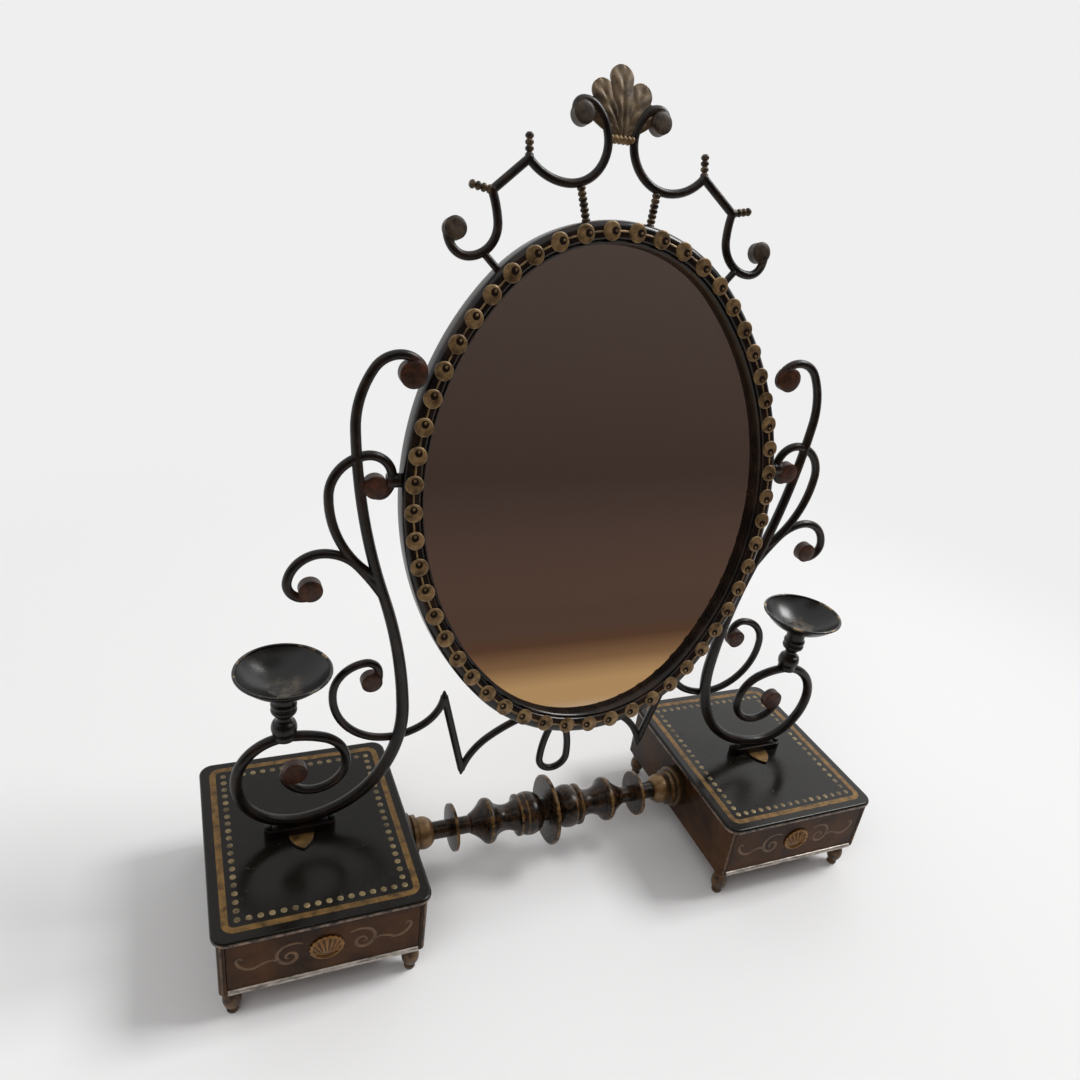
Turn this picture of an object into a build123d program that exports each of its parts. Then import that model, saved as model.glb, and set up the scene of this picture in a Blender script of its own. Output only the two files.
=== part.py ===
from build123d import *
from math import atan2, cos, degrees, radians, sin
import os

# Table mirror on two lacquered drawer boxes, millimetres, +Z up, front towards -Y.
# The origin is on the table, midway between the boxes.

# Oval mirror frame
frame_half_width = 136.0
frame_half_height = 172.0
frame_end_radius = 112.0
frame_width = 18.0
frame_back = 6.0
frame_flank = 9.5
frame_crown = 8.0
crown_start = 4.0
crown_land = 5.0
sight_bead = 3.0
sight_lip = 4.0
rabbet_depth = 3.0
glass_clearance = 0.3
board_margin = 3.0
board_thickness = 3.0
tilt = 10.8
frame_drop = 14.7

# Frame ornament and back fixings
stud_count = 53
stud_radius = 5.8
stud_thickness = 1.2
nail_count = 8
nail_shank = 0.7
nail_head = 2.0
nail_length = 5.0

# Pivot between frame and scrolls
pivot_reach = 5.0
pivot_radius = 2.0
pivot_clearance = 0.05
pivot_depth = 6.0
lug_radius = 4.5
lug_inner = 3.4
lug_outer = 3.0
washer_thickness = 1.5
washer_gap = 0.2

# Boxes
lid_width = 142.0
lid_depth = 170.0
lid_thickness = 5.0
lid_corner = 10.0
lid_round = 2.0
lid_overhang = 3.0
case_height = 46.5
case_corner = 4.0
wall = 5.0
bottom_board = 4.0
base_bead = 1.35
bead_lift = 1.3
bead_margin = 4.5
foot_height = 25.0
foot_top = 6.3
foot_waist = 4.3
foot_bulge = 6.2
foot_toe = 4.0
foot_inset = 8.0

# Drawers
drawer_gap = 0.5
runner_gap = 0.3
front_thickness = 7.0
tray_wall = 3.0
tray_height = 31.0
tray_gap = 1.5
shell_width = 24.0
shell_rise = 3.0
shell_lobes = 9
shell_cup = 30.0

# Shoes that carry the uprights
shoe_length = 50.0
shoe_depth = 12.0
shoe_thickness = 7.5
shoe_offset = 6.0
tongue_width = 18.0
tongue_length = 14.0
tongue_thickness = 1.5
screw_spread = 44.0
screw_head = 2.8
screw_head_rise = 1.4
screw_shank = 1.6
screw_clearance = 0.1
screw_bite = 4.0
saddle = 1.0

# Wrought uprights
upright_reach = 60.0
ring_rod = 4.0
top_rod = 2.9
waist_rod = 4.5
end_rod = 3.2
branch_rod = 3.0
penny_thickness = 6.8
top_penny = 8.2
branch_penny = 7.4
ring_penny = 8.3

# Rail behind the mirror
rail_rod = 2.8
rail_setback = 4.6
rail_rise = 62.0
rail_penny = 7.2
rail_gap = 7.3
drop_radius = 11.5
drop_length = 58.0

# Candle stems and dishes
stem_offset = 10.0
stem_rise = 75.0
stem_height = 39.0
stem_bulge = 8.6
stem_neck = 4.8
stem_foot = 7.4
dish_radius = 31.0
dish_depth = 15.0
dish_wall = 1.2
dish_rim = 1.1

# Turned spindle between the boxes
spindle_height = 50.5
centre_disc = 28.0
spindle_bulb = 17.2
spindle_ring = 18.0
spindle_waist = 10.2
spindle_neck = 6.8
side_disc = 18.4
tenon_radius = 5.5
collar_length = 25.0
collar_flange = 17.0
collar_cup = 12.4

# Crest over the frame
crest_rod = 2.7
crest_knuckle = 3.0
crest_plane = 1.3
crest_lean = 4.9
crest_penny = 6.6
crest_rise = 18.5
post_angle = 11.3
stub_angle = 44.8
post_bead = 2.7
post_bead_count = 7
stub_radius = 2.3
finial_bead = 2.6
finial_bead_count = 4
finial_length = 14.0
tie_bead = 2.8
tie_bead_count = 6
leaf_length = 39.5
leaf_width = 14.0
leaf_thickness = 2.4

# Derived places and sizes
lid_top = foot_height + case_height + lid_thickness
shoe_top = lid_top + shoe_thickness
ring_x = frame_half_width + upright_reach
ring_z = shoe_top + ring_rod - saddle
box_x = ring_x - shoe_offset
case_width = lid_width - 2 * lid_overhang
case_depth = lid_depth - 2 * lid_overhang
case_top = foot_height + case_height
inner_width = case_width - 2 * wall
rail_z = ring_z + rail_rise
pivot_x = frame_half_width + pivot_reach
pivot_z = rail_z + rail_rod + rail_gap + frame_half_height + frame_drop
axis_squares = frame_half_width**2 + frame_half_height**2
end_step = frame_half_width - frame_end_radius
frame_side_radius = (axis_squares / 2 - frame_half_height * frame_end_radius) / end_step
end_centre = frame_half_height - frame_end_radius
side_centre = frame_side_radius - frame_half_width
join_angle = degrees(atan2(side_centre, end_centre))
rabbet_inset = frame_width - sight_lip
upright_plane = Plane.XZ
rail_plane = Plane.XZ.offset(-rail_setback)
nodes = {}


def bent(plane, start, heading, stops):
    """Tangent arcs through the stops; the heading is in degrees clockwise from up."""
    here = plane.from_local_coords((start[0], start[1], 0))
    ahead = plane.from_local_coords((start[0] + sin(radians(heading)), start[1] + cos(radians(heading)), 0))
    way = ahead - here
    edges = []
    for stop in stops:
        there = plane.from_local_coords((stop[0], stop[1], 0))
        edges.append(Edge.make_tangent_arc(here, way, there))
        here = there
        way = edges[-1] % 1
    return edges


def rod(edges, radius):
    """Round bar of one thickness along joined edges."""
    path = Wire(edges)
    return sweep(Plane(path @ 0, z_dir=path % 0) * Circle(radius), path=path)


def drawn_rod(edges, radii):
    """Round bar drawn down from one radius to the next, an arc at a time."""
    bar = None
    for edge, first, last in zip(edges, radii, radii[1:]):
        near = Plane(edge @ 0, z_dir=edge % 0) * Circle(first)
        far = Plane(edge @ 1, z_dir=edge % 1) * Circle(last)
        piece = sweep(sections=[near.face(), far.face()], path=edge, multisection=True)
        bar = piece if bar is None else bar + piece
    return bar


def penny(plane, x, z, radius, thickness):
    """Flattened round end of a scroll, centred on its plane."""
    return extrude(plane * Pos(x, z) * Circle(radius), thickness / 2, both=True)


def turned(edges):
    """Solid turned about Z from a profile in the XZ plane."""
    return revolve(make_face(edges), Axis.Z)


def beads(radius, neck, count, length):
    """Turned pin along +Z made of equal beads with a plain core."""
    pitch = length / count
    core = Pos(Z=length / 2) * Cylinder(neck, length)
    for index in range(count):
        low = Plane.XZ * Pos(0, index * pitch)
        start = pitch * 0.08
        stop = pitch * 0.92
        edge = low * ThreePointArc((neck, start), (radius, pitch / 2), (neck, stop))
        back = low * Polyline((neck, stop), (0, stop), (0, start), (neck, start))
        core += turned([edge, back])
    return core


def both_sides(name, solid):
    """The piece built on the right and its twin on the left."""
    nodes["right_" + name] = solid
    nodes["left_" + name] = mirror(solid, about=Plane.YZ)


def group(solids):
    """Separate like solids kept in one node."""
    return Compound(children=[body for solid in solids for body in solid.solids()])


# Box case: bottom, two sides and back, open to the front and closed above by the lid
case = Pos(box_x, 0, foot_height + case_height / 2) * Box(case_width, case_depth, case_height)
case = fillet(case.edges().filter_by(Axis.Z), case_corner)
cavity_depth = case_depth - wall
case -= Pos(box_x, -wall / 2, foot_height + bottom_board + case_height / 2) * Box(
    inner_width, cavity_depth, case_height
)
tenon = Pos(box_x - case_width / 2 + wall / 2, 0, spindle_height) * Rot(Y=90) * Cylinder(tenon_radius, wall)
case -= tenon

# Lid: flat top with a rounded edge, drilled for the shoe screws
lid = extrude(Pos(box_x, 0, case_top) * RectangleRounded(lid_width, lid_depth, lid_corner), lid_thickness)
lid = fillet(lid.edges().group_by(Axis.Z)[0] + lid.edges().group_by(Axis.Z)[-1], lid_round)
screw_places = [Pos(ring_x + side * screw_spread / 2, 0, shoe_top) for side in (-1, 1)]
screw_length = shoe_thickness + screw_bite
screw_shaft = Pos(Z=-screw_length / 2) * Cylinder(screw_shank, screw_length)
for place in screw_places:
    lid -= place * screw_shaft

# Half-round bead along the foot of the front
bead_length = case_width - 2 * bead_margin
bead_profile = Plane.YZ * (Circle(base_bead) & Pos(-base_bead, 0) * Rectangle(2 * base_bead, 2 * base_bead))
bead_start = Pos(box_x - bead_length / 2, -case_depth / 2, foot_height + bead_lift + base_bead)
bead = extrude(bead_start * bead_profile, bead_length)

# Turned feet, four to a box
foot_ring = foot_height * 0.87
foot_groove = foot_height * 0.74
foot_ankle = foot_height * 0.16
foot_sole = foot_waist - 1
foot_edge = [
    Polyline((0, foot_height), (foot_top, foot_height), (foot_top, foot_ring)),
    ThreePointArc((foot_top, foot_ring), (foot_waist, foot_height * 0.81), (foot_waist, foot_groove)),
    ThreePointArc((foot_waist, foot_groove), (foot_bulge, foot_height * 0.5), (foot_sole, foot_ankle)),
    ThreePointArc((foot_sole, foot_ankle), (foot_toe, foot_height * 0.08), (foot_sole, 0)),
    Polyline((foot_sole, 0), (0, 0), (0, foot_height)),
]
foot = turned([Plane.XZ * edge for edge in foot_edge])
foot_x = case_width / 2 - foot_inset
foot_y = case_depth / 2 - foot_inset
feet = group([Pos(box_x + sx * foot_x, sy * foot_y) * foot for sx in (-1, 1) for sy in (-1, 1)])

# Drawer: a thick front that fills the opening and a tray fixed behind it
front_width = inner_width - 2 * drawer_gap
front_height = case_height - bottom_board - 2 * drawer_gap
front_bottom = foot_height + bottom_board + drawer_gap
front_face = -case_depth / 2
front = Pos(box_x, front_face + front_thickness / 2, front_bottom + front_height / 2) * Box(
    front_width, front_thickness, front_height
)
tray_width = inner_width - 2 * tray_gap
tray_start = front_face + front_thickness
tray_end = case_depth / 2 - wall - tray_gap
tray_bottom = foot_height + bottom_board + runner_gap
tray_middle = (tray_start + tray_end) / 2
tray_depth = tray_end - tray_start
tray = Pos(box_x, tray_middle, tray_bottom + tray_height / 2) * Box(tray_width, tray_depth, tray_height)
tray -= Pos(box_x, tray_middle, tray_bottom + tray_wall + tray_height / 2) * Box(
    tray_width - 2 * tray_wall, tray_depth - 2 * tray_wall, tray_height
)

# Shell boss on the drawer front: a scalloped fan, domed
shell_centre = Plane.XZ.offset(case_depth / 2) * Pos(box_x, front_bottom + front_height / 2)
lobe_ring = shell_width / 2 - shell_width / 10
outline = Circle(lobe_ring)
for index in range(shell_lobes):
    angle = radians(-30 + 240 * index / (shell_lobes - 1))
    outline += Pos(lobe_ring * cos(angle), lobe_ring * sin(angle)) * Circle(shell_width / 10)
shell = extrude(shell_centre * outline, shell_rise)
shell &= shell_centre * Pos(Z=shell_rise - shell_cup) * Sphere(shell_cup)

# Wrought upright: one bar from the top scroll down through the ring that stands on the shoe


def hung(points):
    return [(pivot_x + x, pivot_z + z) for x, z in points]


def stood(points):
    return [(ring_x + x, ring_z + z) for x, z in points]


top_stops = hung([(-13.3, 72), (-2, 76.7), (13, 68.2), (22.5, 32.2), (2, -79.8)])
ring_stops = stood([(-70, 88), (-57.5, 35), (0, 0), (42, 42), (8, 75), (-16, 70.5), (-31.5, 51), (-12, 25.5)])
ring_end = stood([(10, 38), (8.2, 46)])
main_edges = bent(upright_plane, hung([(-15.2, 64.5)])[0], -15, top_stops + ring_stops + ring_end)
mean_rod = (ring_rod + end_rod) / 2
drawn_down = (top_rod + waist_rod) / 2
swell = [top_rod, top_rod, top_rod, top_rod, top_rod + 0.3, drawn_down, waist_rod, waist_rod, ring_rod]
fall = [ring_rod, mean_rod, mean_rod, end_rod, end_rod, end_rod, end_rod]
upright = drawn_rod(main_edges, swell + fall)
mid_stops = hung([(37.5, -8.8), (16.5, 16.2), (0, 0.2), (3.6, -7.8), (10.4, -7.9), (13, -2.7)])
mid_edges = bent(upright_plane, hung([(6, -66.8)])[0], 57, mid_stops)
outer_stops = hung([(19, -57.3), (38.5, -47), (62, -64.8), (54.3, -76.6), (47.6, -75.5), (44.2, -70.6)])
outer_edges = bent(upright_plane, hung([(1, -82.8)])[0], 30, outer_stops)
upright += rod(mid_edges, branch_rod)
upright += rod(outer_edges, branch_rod)
for spot, radius in (
    (hung([(-9.5, 65.7)])[0], top_penny),
    (hung([(10, -3.3)])[0], branch_penny),
    (hung([(48, -71.3)])[0], branch_penny),
    (stood([(3.5, 44)])[0], ring_penny),
):
    upright += penny(upright_plane, spot[0], spot[1], radius, penny_thickness)
lug = Cylinder(lug_radius, lug_inner + lug_outer)
upright += Pos(pivot_x + (lug_outer - lug_inner) / 2, 0, pivot_z) * Rot(Y=90) * lug
pin_start = frame_half_width - pivot_depth
pin_end = pivot_x + lug_outer
pin = Pos((pin_start + pin_end) / 2, 0, pivot_z) * Rot(Y=90) * Cylinder(pivot_radius, pin_end - pin_start)
upright -= pin
washer_end = pivot_x - lug_inner - washer_gap
washer = Cylinder(lug_radius, washer_thickness)
washer = Pos(washer_end - washer_thickness / 2, 0, pivot_z) * Rot(Y=90) * washer - pin

# Shoe: a block grooved for the ring, with a pointed tongue on the lid in front
shoe = extrude(Pos(ring_x, 0, lid_top) * SlotOverall(shoe_length, shoe_depth), shoe_thickness)
tongue_root = -shoe_depth / 2 + 1
tongue_tip = -shoe_depth / 2 - tongue_length
tongue_half = tongue_width / 2
tongue_bend = (tongue_width * 0.4, tongue_root - tongue_length * 0.55)
tongue_edge = [
    ThreePointArc((-tongue_half, tongue_root), (-tongue_bend[0], tongue_bend[1]), (0, tongue_tip)),
    ThreePointArc((0, tongue_tip), tongue_bend, (tongue_half, tongue_root)),
    Line((tongue_half, tongue_root), (-tongue_half, tongue_root)),
]
shoe += extrude(Pos(ring_x, 0, lid_top) * make_face(tongue_edge), tongue_thickness)
shoe -= upright
screws = []
for place in screw_places:
    shoe -= place * Pos(Z=-shoe_thickness / 2) * Cylinder(screw_shank + screw_clearance, shoe_thickness)
    head = place * Pos(Z=screw_head_rise / 2) * Cylinder(screw_head, screw_head_rise)
    screws.append(head + place * screw_shaft)

# Candle stem and dish over the ring
stem_x = ring_x + stem_offset
stem_base = ring_z + stem_rise
stem_drum = stem_bulge - 0.9
stem_edge = [
    Polyline((0, 0), (stem_foot, 0), (stem_foot, stem_height * 0.1)),
    ThreePointArc(
        (stem_foot, stem_height * 0.1), (stem_bulge, stem_height * 0.22), (stem_foot, stem_height * 0.34)
    ),
    ThreePointArc(
        (stem_foot, stem_height * 0.34), (stem_neck, stem_height * 0.44), (stem_foot, stem_height * 0.54)
    ),
    ThreePointArc(
        (stem_foot, stem_height * 0.54), (stem_bulge, stem_height * 0.6), (stem_drum, stem_height * 0.66)
    ),
    ThreePointArc(
        (stem_drum, stem_height * 0.66), (stem_bulge, stem_height * 0.72), (stem_foot, stem_height * 0.78)
    ),
    Polyline((stem_foot, stem_height * 0.78), (stem_foot, stem_height), (0, stem_height), (0, 0)),
]
stem = Pos(stem_x, 0, stem_base) * turned([Plane.XZ * edge for edge in stem_edge])
stem -= upright
dish_base = stem_base + stem_height
bowl_start = stem_foot + 2
bowl_mid = ((dish_radius + bowl_start) * 0.53, dish_depth * 0.36)
dish_edge = [
    Polyline((0, dish_wall), (0, 0), (bowl_start, 0)),
    ThreePointArc((bowl_start, 0), bowl_mid, (dish_radius, dish_depth)),
    Line((dish_radius, dish_depth), (dish_radius - dish_wall, dish_depth)),
    ThreePointArc(
        (dish_radius - dish_wall, dish_depth),
        (bowl_mid[0] - dish_wall * 0.5, bowl_mid[1] + dish_wall),
        (bowl_start, dish_wall),
    ),
    Line((bowl_start, dish_wall), (0, dish_wall)),
]
dish = turned([Plane.XZ * edge for edge in dish_edge])
rim_circle = Plane.XZ * Pos(dish_radius - dish_wall / 2, dish_depth) * Circle(dish_rim)
dish += revolve(rim_circle, Axis.Z)
dish = Pos(stem_x, 0, dish_base) * dish

# Rail behind the mirror: a volute at each upright, a peak, a valley and a long arm to the middle
volute_stops = stood([(-53.2, 117), (-43.5, 124.5), (-22.5, 103), (-62, 59), (-87, 65.5), (-101.6, 88)])
volute = bent(rail_plane, stood([(-53, 108.5)])[0], -12, volute_stops)
valley = stood([(-120, 17.5)])[0]
arm = bent(rail_plane, valley, -15, stood([(-139, 45), (-158, 56)]) + [(0, rail_z)])
fall_line = Edge.make_line(volute[-1] @ 1, arm[0] @ 0)
half_rail = rod(volute, rail_rod) + rod([fall_line], rail_rod) + rod(arm, rail_rod)
for before, after in ((volute[-1], fall_line), (fall_line, arm[0])):
    outward = before % 1 - after % 0
    point = Cone(rail_rod, rail_rod * 0.3, 2 * rail_rod)
    half_rail += Plane(after @ 0, z_dir=outward) * Pos(Z=rail_rod * 0.7) * point
rail_end = stood([(-48.3, 109.5)])[0]
half_rail += penny(rail_plane, rail_end[0], rail_end[1], rail_penny, penny_thickness)
rail = half_rail + mirror(half_rail, about=Plane.YZ)
rail -= upright + mirror(upright, about=Plane.YZ)

# Drop that hangs from the middle of the rail
drop_low = rail_z - drop_length + drop_radius
drop_tip = rail_z - rail_rod
right_drop = bent(rail_plane, (0, drop_low - drop_radius), 90, [(drop_radius, drop_low), (0, drop_tip)])
drop = rod(right_drop, rail_rod)
drop += mirror(drop, about=Plane.YZ)
drop -= rail

# Spindle: turned in one piece from tenon to tenon, the same each way from its middle disc
spindle_end = box_x - case_width / 2
cup_end = spindle_end - collar_length
tenon_end = spindle_end + wall


def turning(*stations):
    """Points of the spindle's profile; each station is a share of the way from the middle to the cup."""
    return [(share * cup_end, radius) for share, radius in stations]


disc_edge = turning((0, 0), (0, centre_disc), (0.01, centre_disc), (0.018, centre_disc - 1.5))
gap_edge = turning((0.026, spindle_neck + 2), (0.07, spindle_neck + 2), (0.08, spindle_bulb - 4))
bulb = turning((0.08, spindle_bulb - 4), (0.16, spindle_bulb), (0.25, spindle_bulb - 2))
fillet_ring = turning((0.25, spindle_bulb - 2), (0.262, spindle_bulb - 0.6), (0.28, spindle_bulb - 0.6))
waist_start = turning((0.28, spindle_bulb - 0.6), (0.29, spindle_waist + 3))
waist = turning((0.29, spindle_waist + 3), (0.38, spindle_waist), (0.49, spindle_ring - 3))
ring = turning((0.49, spindle_ring - 3), (0.535, spindle_ring), (0.575, spindle_ring - 2))
shoulder = turning((0.575, spindle_ring - 2), (0.63, spindle_neck + 4), (0.68, spindle_neck + 1))
neck = turning((0.68, spindle_neck + 1), (0.69, spindle_neck), (0.81, spindle_neck))
side_edge = turning((0.81, spindle_neck), (0.818, side_disc), (0.842, side_disc), (0.85, spindle_neck))
spindle_edge = [
    Polyline(*disc_edge, *gap_edge),
    ThreePointArc(*bulb),
    Polyline(*fillet_ring),
    Polyline(*waist_start),
    ThreePointArc(*waist),
    ThreePointArc(*ring),
    ThreePointArc(*shoulder),
    Polyline(*neck),
    Polyline(*side_edge),
    Polyline(side_edge[-1], (spindle_end, spindle_neck), (spindle_end, tenon_radius)),
    Polyline((spindle_end, tenon_radius), (tenon_end, tenon_radius), (tenon_end, 0), (0, 0)),
]
half_spindle = revolve(make_face(spindle_edge), Axis.X)
spindle = Pos(Z=spindle_height) * (half_spindle + mirror(half_spindle, about=Plane.YZ))
collar_step = collar_cup + 2.4
collar_edge = [
    Polyline((cup_end, spindle_neck), (cup_end, spindle_neck + 1.6)),
    ThreePointArc((cup_end, spindle_neck + 1.6), (cup_end + 8, collar_cup), (cup_end + 12, collar_cup - 1)),
    Polyline((cup_end + 12, collar_cup - 1), (cup_end + 13, collar_step), (cup_end + 16, collar_step)),
    Polyline((cup_end + 16, collar_step), (cup_end + 17, collar_step - 1), (cup_end + 18, collar_flange)),
    Polyline((cup_end + 18, collar_flange), (spindle_end, collar_flange)),
    Polyline((spindle_end, collar_flange), (spindle_end, spindle_neck), (cup_end, spindle_neck)),
]
collar = Pos(Z=spindle_height) * revolve(make_face(collar_edge), Axis.X)

# Oval frame, drawn with four centres so that every inset stays an oval of tangent arcs


def oval_join(inset, sx, sz):
    reach = frame_end_radius - inset
    return (sx * reach * sin(radians(join_angle)), sz * (end_centre + reach * cos(radians(join_angle))))


def oval(inset):
    """Outline of the frame moved in by the inset, in the frame's own plane."""
    tip = frame_half_height - inset
    side = frame_half_width - inset
    corners = [oval_join(inset, sx, sz) for sx, sz in ((1, 1), (-1, 1), (-1, -1), (1, -1))]
    middles = [(0, tip), (-side, 0), (0, -tip), (side, 0)]
    return [ThreePointArc(corners[i], middles[i], corners[(i + 1) % 4]) for i in range(4)]


def oval_plate(inset, low, high):
    """Plate with the frame's outline, from low to high in front of the pivot plane."""
    return extrude(frame_plane.offset(low) * make_face(oval(inset)), high - low)


def on_oval(inset, angle):
    """Point of the frame's outline at an angle from the top, seen from the nearer end centre."""
    reach = frame_end_radius - inset
    return (reach * sin(radians(angle)), end_centre + reach * cos(radians(angle)))


frame_plane = Plane((0, 0, -frame_drop), x_dir=(1, 0, 0), z_dir=(0, -1, 0))
section = [
    Line((0, -frame_back), (0, frame_flank - frame_back)),
    ThreePointArc(
        (0, frame_flank - frame_back), (crown_start * 0.33, frame_crown * 0.76), (crown_start, frame_crown)
    ),
    Line((crown_start, frame_crown), (crown_start + crown_land, frame_crown)),
    ThreePointArc(
        (crown_start + crown_land, frame_crown),
        ((crown_start + crown_land + frame_width - sight_bead) / 2 + 0.7, frame_crown * 0.72),
        (frame_width - sight_bead, frame_crown * 0.2),
    ),
    ThreePointArc(
        (frame_width - sight_bead, frame_crown * 0.2),
        (frame_width - sight_bead / 2, frame_crown * 0.2 + sight_bead / 2),
        (frame_width, frame_crown * 0.2),
    ),
    Polyline(
        (frame_width, frame_crown * 0.2),
        (frame_width, -rabbet_depth),
        (rabbet_inset, -rabbet_depth),
        (rabbet_inset, -frame_back),
        (0, -frame_back),
    ),
]
section_face = make_face(section)
side_origin = frame_plane.from_local_coords((frame_half_width, 0, 0))
side_section = Plane(side_origin, x_dir=(-1, 0, 0), z_dir=(0, 0, 1)) * section_face
end_origin = frame_plane.from_local_coords((0, frame_half_height, 0))
end_section = Plane(end_origin, x_dir=(0, 0, -1), z_dir=(-1, 0, 0)) * section_face
side_axis = Axis(frame_plane.from_local_coords((-side_centre, 0, 0)), (0, -1, 0))
end_axis = Axis(frame_plane.from_local_coords((0, end_centre, 0)), (0, 1, 0))
side_sweep = 90 - join_angle
upper_side = revolve(side_section, side_axis, side_sweep)
upper_end = revolve(end_section, end_axis, join_angle)
quarter = upper_side + upper_end
half_frame = quarter + mirror(quarter, about=Plane.YZ)
frame = half_frame + mirror(half_frame, about=Plane(frame_plane.origin, z_dir=(0, 0, 1)))
for side in (-1, 1):
    hole_length = pivot_depth + 1
    frame -= Pos(side * (frame_half_width - hole_length / 2 + 0.5), 0, 0) * Rot(Y=90) * Cylinder(
        pivot_radius + pivot_clearance, hole_length
    )

# Glass in the rabbet and the board over it, nailed to the back of the frame
glass = oval_plate(rabbet_inset + glass_clearance, -frame_back, -rabbet_depth)
board = oval_plate(board_margin, -frame_back - board_thickness, -frame_back)
board_back = frame_plane.offset(-frame_back - board_thickness)
nail_path = Wire([board_back * edge for edge in oval((board_margin + rabbet_inset) / 2)])
nails = []
for index in range(nail_count):
    spot = Plane(nail_path @ ((index + 0.5) / nail_count), z_dir=board_back.z_dir)
    nail_hole = extrude(spot * Circle(nail_shank), nail_length)
    board -= nail_hole
    frame -= nail_hole
    nails.append(extrude(spot * Circle(nail_head), -1) + nail_hole)

# Gilt studs on the crown of the frame, at even steps along the oval
stud_inset = crown_start + crown_land / 2
stud_plane = frame_plane.offset(frame_crown)
stud_path = Wire([stud_plane * edge for edge in oval(stud_inset)])
studs = []
for index in range(stud_count):
    spot = stud_path @ ((index + 0.5) / stud_count)
    studs.append(extrude(Plane(spot, z_dir=stud_plane.z_dir) * Circle(stud_radius), stud_thickness))

# Crest: a scrolled bar each side on a beaded post and a short stub, all leaning back a little
crest_foot = Pos(Y=end_centre + frame_end_radius * cos(radians(stub_angle)))
crest_upright = frame_plane.offset(crest_plane).location
crest = Plane(crest_upright * crest_foot * Rot(X=-crest_lean) * crest_foot.inverse())
crest_base = frame_half_height + crest_rise


def over(points):
    return [(x, crest_base + z) for x, z in points]


scroll_stops = over([(107.2, -39), (96.5, -45), (78.5, -24.5), (82, -8)])
scroll_edges = bent(crest, over([(109, -29)])[0], 172, scroll_stops)
slope = Edge.make_line(scroll_edges[-1] @ 1, crest.from_local_coords((59.4, crest_base + 11.2, 0)))
loop_stops = over([(34, 0), (8.7, 23.5), (17, 44), (25.5, 46.8), (30, 40.5)])
loop_edges = bent(crest, over([(59.4, 11.2)])[0], 222, loop_stops)
bar = rod(scroll_edges, crest_rod) + rod([slope], crest_rod) + rod(loop_edges, crest_rod)
for corner in (slope @ 0, slope @ 1):
    bar += Pos(corner) * Sphere(crest_knuckle)
for spot in over([(104.8, -30.5), (26, 39)]):
    bar += penny(crest, spot[0], spot[1], crest_penny, penny_thickness)


def standing(spot, angle, pin_solid):
    """Pin set in the crest's plane at a spot, leaning outwards by the angle."""
    return crest * Pos(spot[0], spot[1]) * Rot(Z=-angle) * Rot(X=-90) * pin_solid


post_pin = Pos(Z=-1) * beads(post_bead, post_bead * 0.7, post_bead_count, crest_rise + 3)
post = standing(on_oval(0, post_angle), post_angle, post_pin) - bar - frame
post = post.solids().sort_by(SortBy.VOLUME)[-1]
stub = standing(on_oval(0, stub_angle), stub_angle, Pos(Z=5) * Cylinder(stub_radius, 12)) - bar - frame
stub = stub.solids().sort_by(SortBy.VOLUME)[-1]
finial_pin = beads(finial_bead, finial_bead * 0.62, finial_bead_count, finial_length)
finials = []
for spot, angle in ((over([(59.4, 11.2)])[0], 0), (over([(82, -8)])[0], 80)):
    finial = standing(spot, angle, finial_pin) - bar
    finials.append(finial.solids().sort_by(SortBy.VOLUME)[-1])

# Beaded tie between the two bars and the leaf that stands on it
tie_z = crest_base + 27.5
tie_half = 8.7
tie_pin = beads(tie_bead, tie_bead * 0.75, tie_bead_count, 2 * tie_half)
tie = crest * Pos(-tie_half, tie_z) * Rot(Y=90) * tie_pin
tie = tie - bar - mirror(bar, about=Plane.YZ)
tie = tie.solids().sort_by(SortBy.VOLUME)[-1]


def petal(length, width):
    """Rounded lobe of the leaf, narrow at its foot."""
    foot = width * 0.2
    shoulder = (width / 2, length * 0.74)
    left = (-shoulder[0], shoulder[1])
    return make_face([
        Line((-foot, 0), (foot, 0)),
        ThreePointArc((foot, 0), (width * 0.44, length * 0.44), shoulder),
        ThreePointArc(shoulder, (0, length), left),
        ThreePointArc(left, (-width * 0.44, length * 0.44), (-foot, 0)),
    ])


leaf = petal(leaf_length, leaf_width)
for angle, share in ((25, 0.86), (-25, 0.86), (47, 0.72), (-47, 0.72)):
    leaf += Rot(Z=-angle) * petal(leaf_length * share, leaf_width)
leaf = extrude(crest * Pos(0, tie_z + tie_bead * 0.6) * leaf, leaf_thickness / 2, both=True)
leaf -= tie
leaf -= bar
leaf -= mirror(bar, about=Plane.YZ)
leaf = leaf.solids().sort_by(SortBy.VOLUME)[-1]

# The mirror leans back about its pivots
lean = Pos(0, 0, pivot_z) * Rot(X=-tilt)
for name, solid in (
    ("mirror_frame", frame),
    ("mirror_glass", glass),
    ("back_board", board),
    ("back_nails", group(nails)),
    ("frame_studs", group(studs)),
    ("crest_posts", group([post, mirror(post, about=Plane.YZ)])),
    ("crest_stubs", group([stub, mirror(stub, about=Plane.YZ)])),
    ("crest_finials", group(finials + [mirror(solid, about=Plane.YZ) for solid in finials])),
    ("crest_tie", tie),
    ("crest_leaf", leaf),
):
    nodes[name] = lean * solid
nodes["right_crest_bar"] = lean * bar
nodes["left_crest_bar"] = lean * mirror(bar, about=Plane.YZ)

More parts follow.
